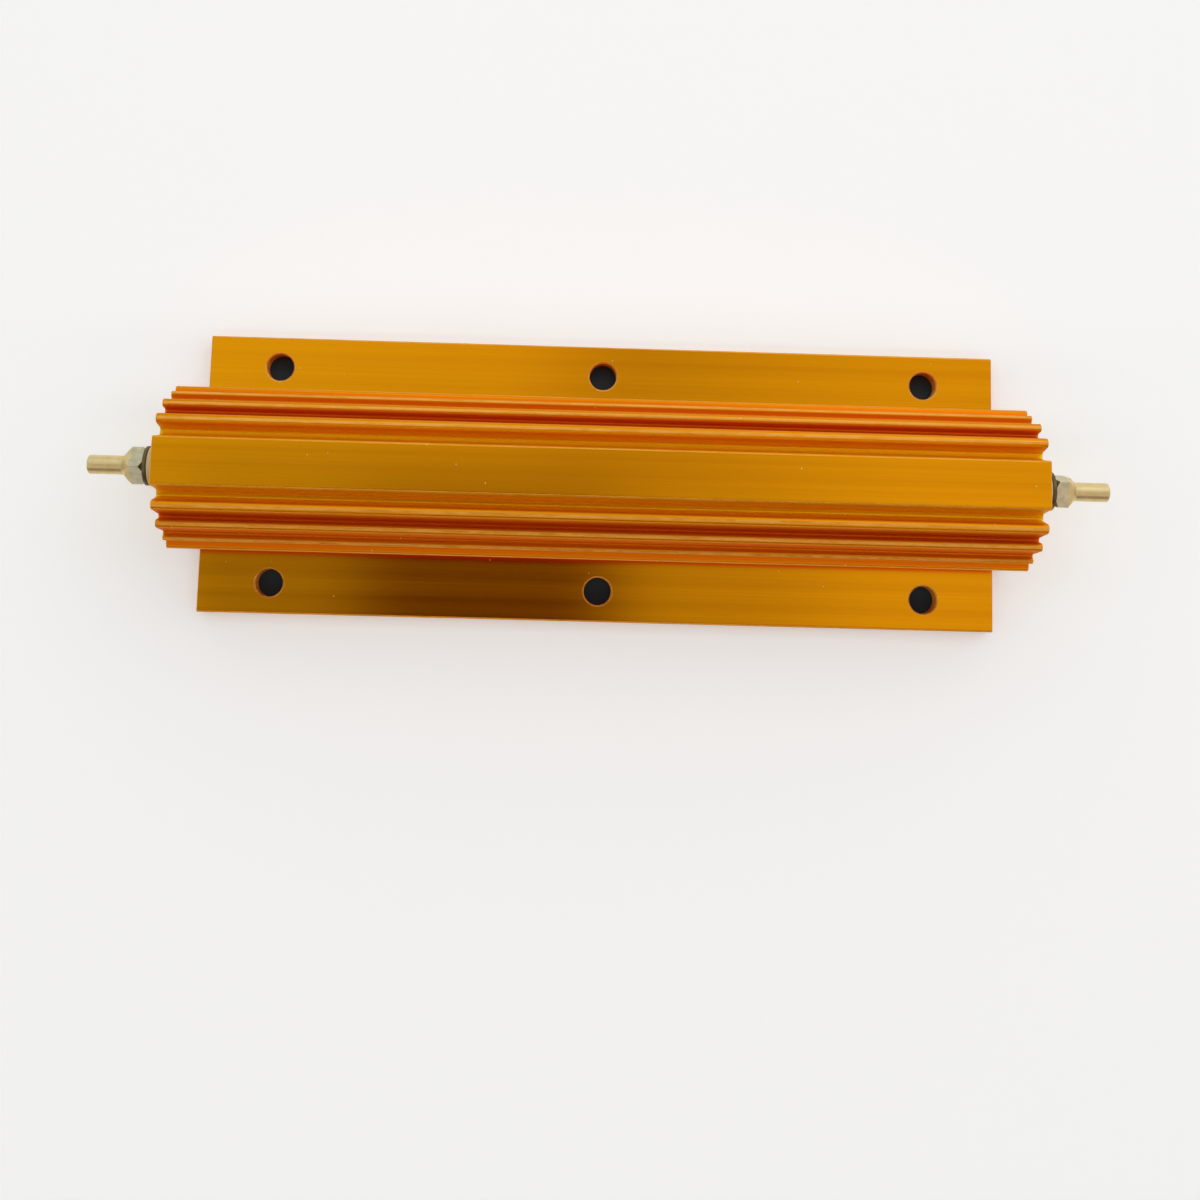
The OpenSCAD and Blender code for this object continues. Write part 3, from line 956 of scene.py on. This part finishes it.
def add_softbox(look):
    """A long softbox behind the object."""
    light = bpy.data.lights.new("long_softbox", "AREA")
    light.shape = "RECTANGLE"
    light.size, light.size_y = SOFTBOX_SIZE
    light.energy = look.softbox
    lamp = bpy.data.objects.new("long_softbox", light)
    bpy.context.scene.collection.objects.link(lamp)
    away = Vector(SOFTBOX_PLACE) - Vector(SOFTBOX_AIM)
    turn = away.to_track_quat("Z", "Y").to_matrix().to_4x4()
    lamp.matrix_world = Matrix.Translation(SOFTBOX_PLACE) @ turn


def add_sky(look):
    """Soft light all round, brighter behind and high in front, with a dark patch overhead."""
    world = bpy.data.worlds.new("studio")
    bpy.context.scene.world = world
    world.use_nodes = True
    world.node_tree.nodes.clear()
    graph = Graph(world.node_tree)
    heading = graph.parts(graph.node("ShaderNodeTexCoord").outputs["Generated"])
    up = graph.math("MAXIMUM", heading["Z"], LOWEST_UP)
    along = graph.math("DIVIDE", heading["X"], up)
    away = graph.math("DIVIDE", heading["Y"], up)
    overhead = graph.math("GREATER_THAN", heading["Z"], OVERHEAD)

    far = graph.times(graph.ramp(away, *FAR_FROM), graph.ramp(along, *FAR_ALONG))
    level = graph.math("ADD", graph.ramp(along, *LEVEL_ALONG), far)
    level = graph.times(level, graph.ramp(away, *FAR_FADE))
    aside = graph.math("ABSOLUTE", graph.math("SUBTRACT", along, HIGH_FAR_GAP))
    high_far = graph.times(graph.ramp(away, *HIGH_FAR_FROM), look.bright_far,
                           graph.ramp(aside, *HIGH_FAR_GAP_EDGE), graph.ramp(along, *HIGH_FAR_LEFT))
    level = graph.math("ADD", level, high_far)
    dim = graph.ramp(away, *DIM_FROM)
    level = graph.times(level, graph.rest(graph.times(dim, 1.0 - look.dim_near)))
    cooler = graph.times(level, graph.ramp(along, *GREEN_ALONG),
                         graph.rest(graph.times(dim, DIM_GREEN_LOSS)))

    near = graph.times(*(graph.ramp(away, *band) for band in NEAR_BAND), overhead, look.bright_near)
    channels = zip(("Red", "Green", "Blue"), (level, cooler, cooler), look.near_tint)
    plain = graph.node("ShaderNodeCombineColor", {
        name: graph.math("ADD", soft, graph.times(near, tint)) for name, soft, tint in channels})
    shade = graph.times(*(graph.ramp(along, *band) for band in SHADE_ALONG),
                        *(graph.ramp(away, *band) for band in SHADE_AWAY), overhead)
    tint = graph.mix(shade, plain.outputs[0], look.shade)

    camera_ray = graph.node("ShaderNodeLightPath").outputs["Is Camera Ray"]
    background = graph.node("ShaderNodeBackground", {
        "Color": graph.mix(camera_ray, tint, (1.0, 1.0, 1.0)),
        "Strength": graph.ramp(camera_ray, 0.0, 1.0, look.sky, 1.0)})
    graph.node("ShaderNodeOutputWorld", {"Surface": background.outputs[0]})


def add_camera(look):
    """The camera, almost straight above the object."""
    data = bpy.data.cameras.new("camera")
    data.sensor_width = CAMERA_SENSOR
    data.lens = look.lens
    data.shift_y = CAMERA_SHIFT
    data.clip_start = CAMERA_NEAREST
    camera = bpy.data.objects.new("camera", data)
    bpy.context.scene.collection.objects.link(camera)
    turn = Matrix(CAMERA_AXES).transposed().to_4x4()
    camera.matrix_world = Matrix.Translation(CAMERA_PLACE) @ turn
    bpy.context.scene.camera = camera


# ---- operators --------------------------------------------------------------

class RESISTOR_OT_housing(bpy.types.Operator):
    """Build the housing's finished shape and give it its gold anodised finish"""
    bl_idname = "resistor.housing"
    bl_label = "Finish Housing"
    bl_options = {"REGISTER", "UNDO"}

    def execute(self, context):
        dress(context.scene.resistor_housing, "gold_anodised_aluminium")
        housing = build_housing()
        housing.data.materials.clear()
        housing.data.materials.append(bpy.data.materials["gold_anodised_aluminium"])
        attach(housing, "root")
        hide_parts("housing")
        return {"FINISHED"}


class RESISTOR_OT_terminals(bpy.types.Operator):
    """Finish the posts, studs, washers and bushes at both ends"""
    bl_idname = "resistor.terminals"
    bl_label = "Finish Terminals"
    bl_options = {"REGISTER", "UNDO"}

    def execute(self, context):
        dress(context.scene.resistor_terminals,
              "turned_post_brass", "plated_stud_steel", "shaded_washer_plating", "cream_ceramic")
        return {"FINISHED"}


class RESISTOR_OT_element(bpy.types.Operator):
    """Finish the wound core, its caps and the cement round them"""
    bl_idname = "resistor.element"
    bl_label = "Finish Element"
    bl_options = {"REGISTER", "UNDO"}

    def execute(self, context):
        dress(context.scene.resistor_element,
              "filling_cement", "core_ceramic", "drawn_resistance_wire", "pressed_cap_steel")
        return {"FINISHED"}


class RESISTOR_OT_stage(bpy.types.Operator):
    """Add the floor, the softbox, the sky and the camera"""
    bl_idname = "resistor.stage"
    bl_label = "Set Stage"
    bl_options = {"REGISTER", "UNDO"}

    def execute(self, context):
        look = context.scene.resistor_stage
        add_floor(look)
        add_sky(look)
        add_softbox(look)
        add_camera(look)
        context.scene.view_settings.view_transform = "Standard"
        return {"FINISHED"}


PANEL_ROWS = (
    ("resistor_housing", ResistorHousingSettings, "resistor.housing"),
    ("resistor_terminals", ResistorTerminalSettings, "resistor.terminals"),
    ("resistor_element", ResistorElementSettings, "resistor.element"),
    ("resistor_stage", ResistorStageSettings, "resistor.stage"),
)


class RESISTOR_PT_panel(bpy.types.Panel):
    """Lists the pieces of the resistor and their settings"""
    bl_idname = "RESISTOR_PT_panel"
    bl_label = "Power Resistor"
    bl_space_type = "VIEW_3D"
    bl_region_type = "UI"
    bl_category = "Resistor"

    def draw(self, context):
        for name, kind, operator in PANEL_ROWS:
            box = self.layout.box()
            box.operator(operator)
            settings = getattr(context.scene, name)
            for key in kind.__annotations__:
                box.prop(settings, key)


CLASSES = tuple(kind for _, kind, _ in PANEL_ROWS) + (
    RESISTOR_OT_housing, RESISTOR_OT_terminals, RESISTOR_OT_element, RESISTOR_OT_stage,
    RESISTOR_PT_panel)


def register():
    for cls in CLASSES:
        bpy.utils.register_class(cls)
    for name, kind, _ in PANEL_ROWS:
        setattr(bpy.types.Scene, name, PointerProperty(type=kind))


def unregister():
    for name, _, _ in PANEL_ROWS:
        delattr(bpy.types.Scene, name)
    for cls in reversed(CLASSES):
        bpy.utils.unregister_class(cls)


def main():
    register()
    for operator in (bpy.ops.resistor.housing, bpy.ops.resistor.terminals,
                     bpy.ops.resistor.element, bpy.ops.resistor.stage):
        operator()


if __name__ == "__main__":
    main()
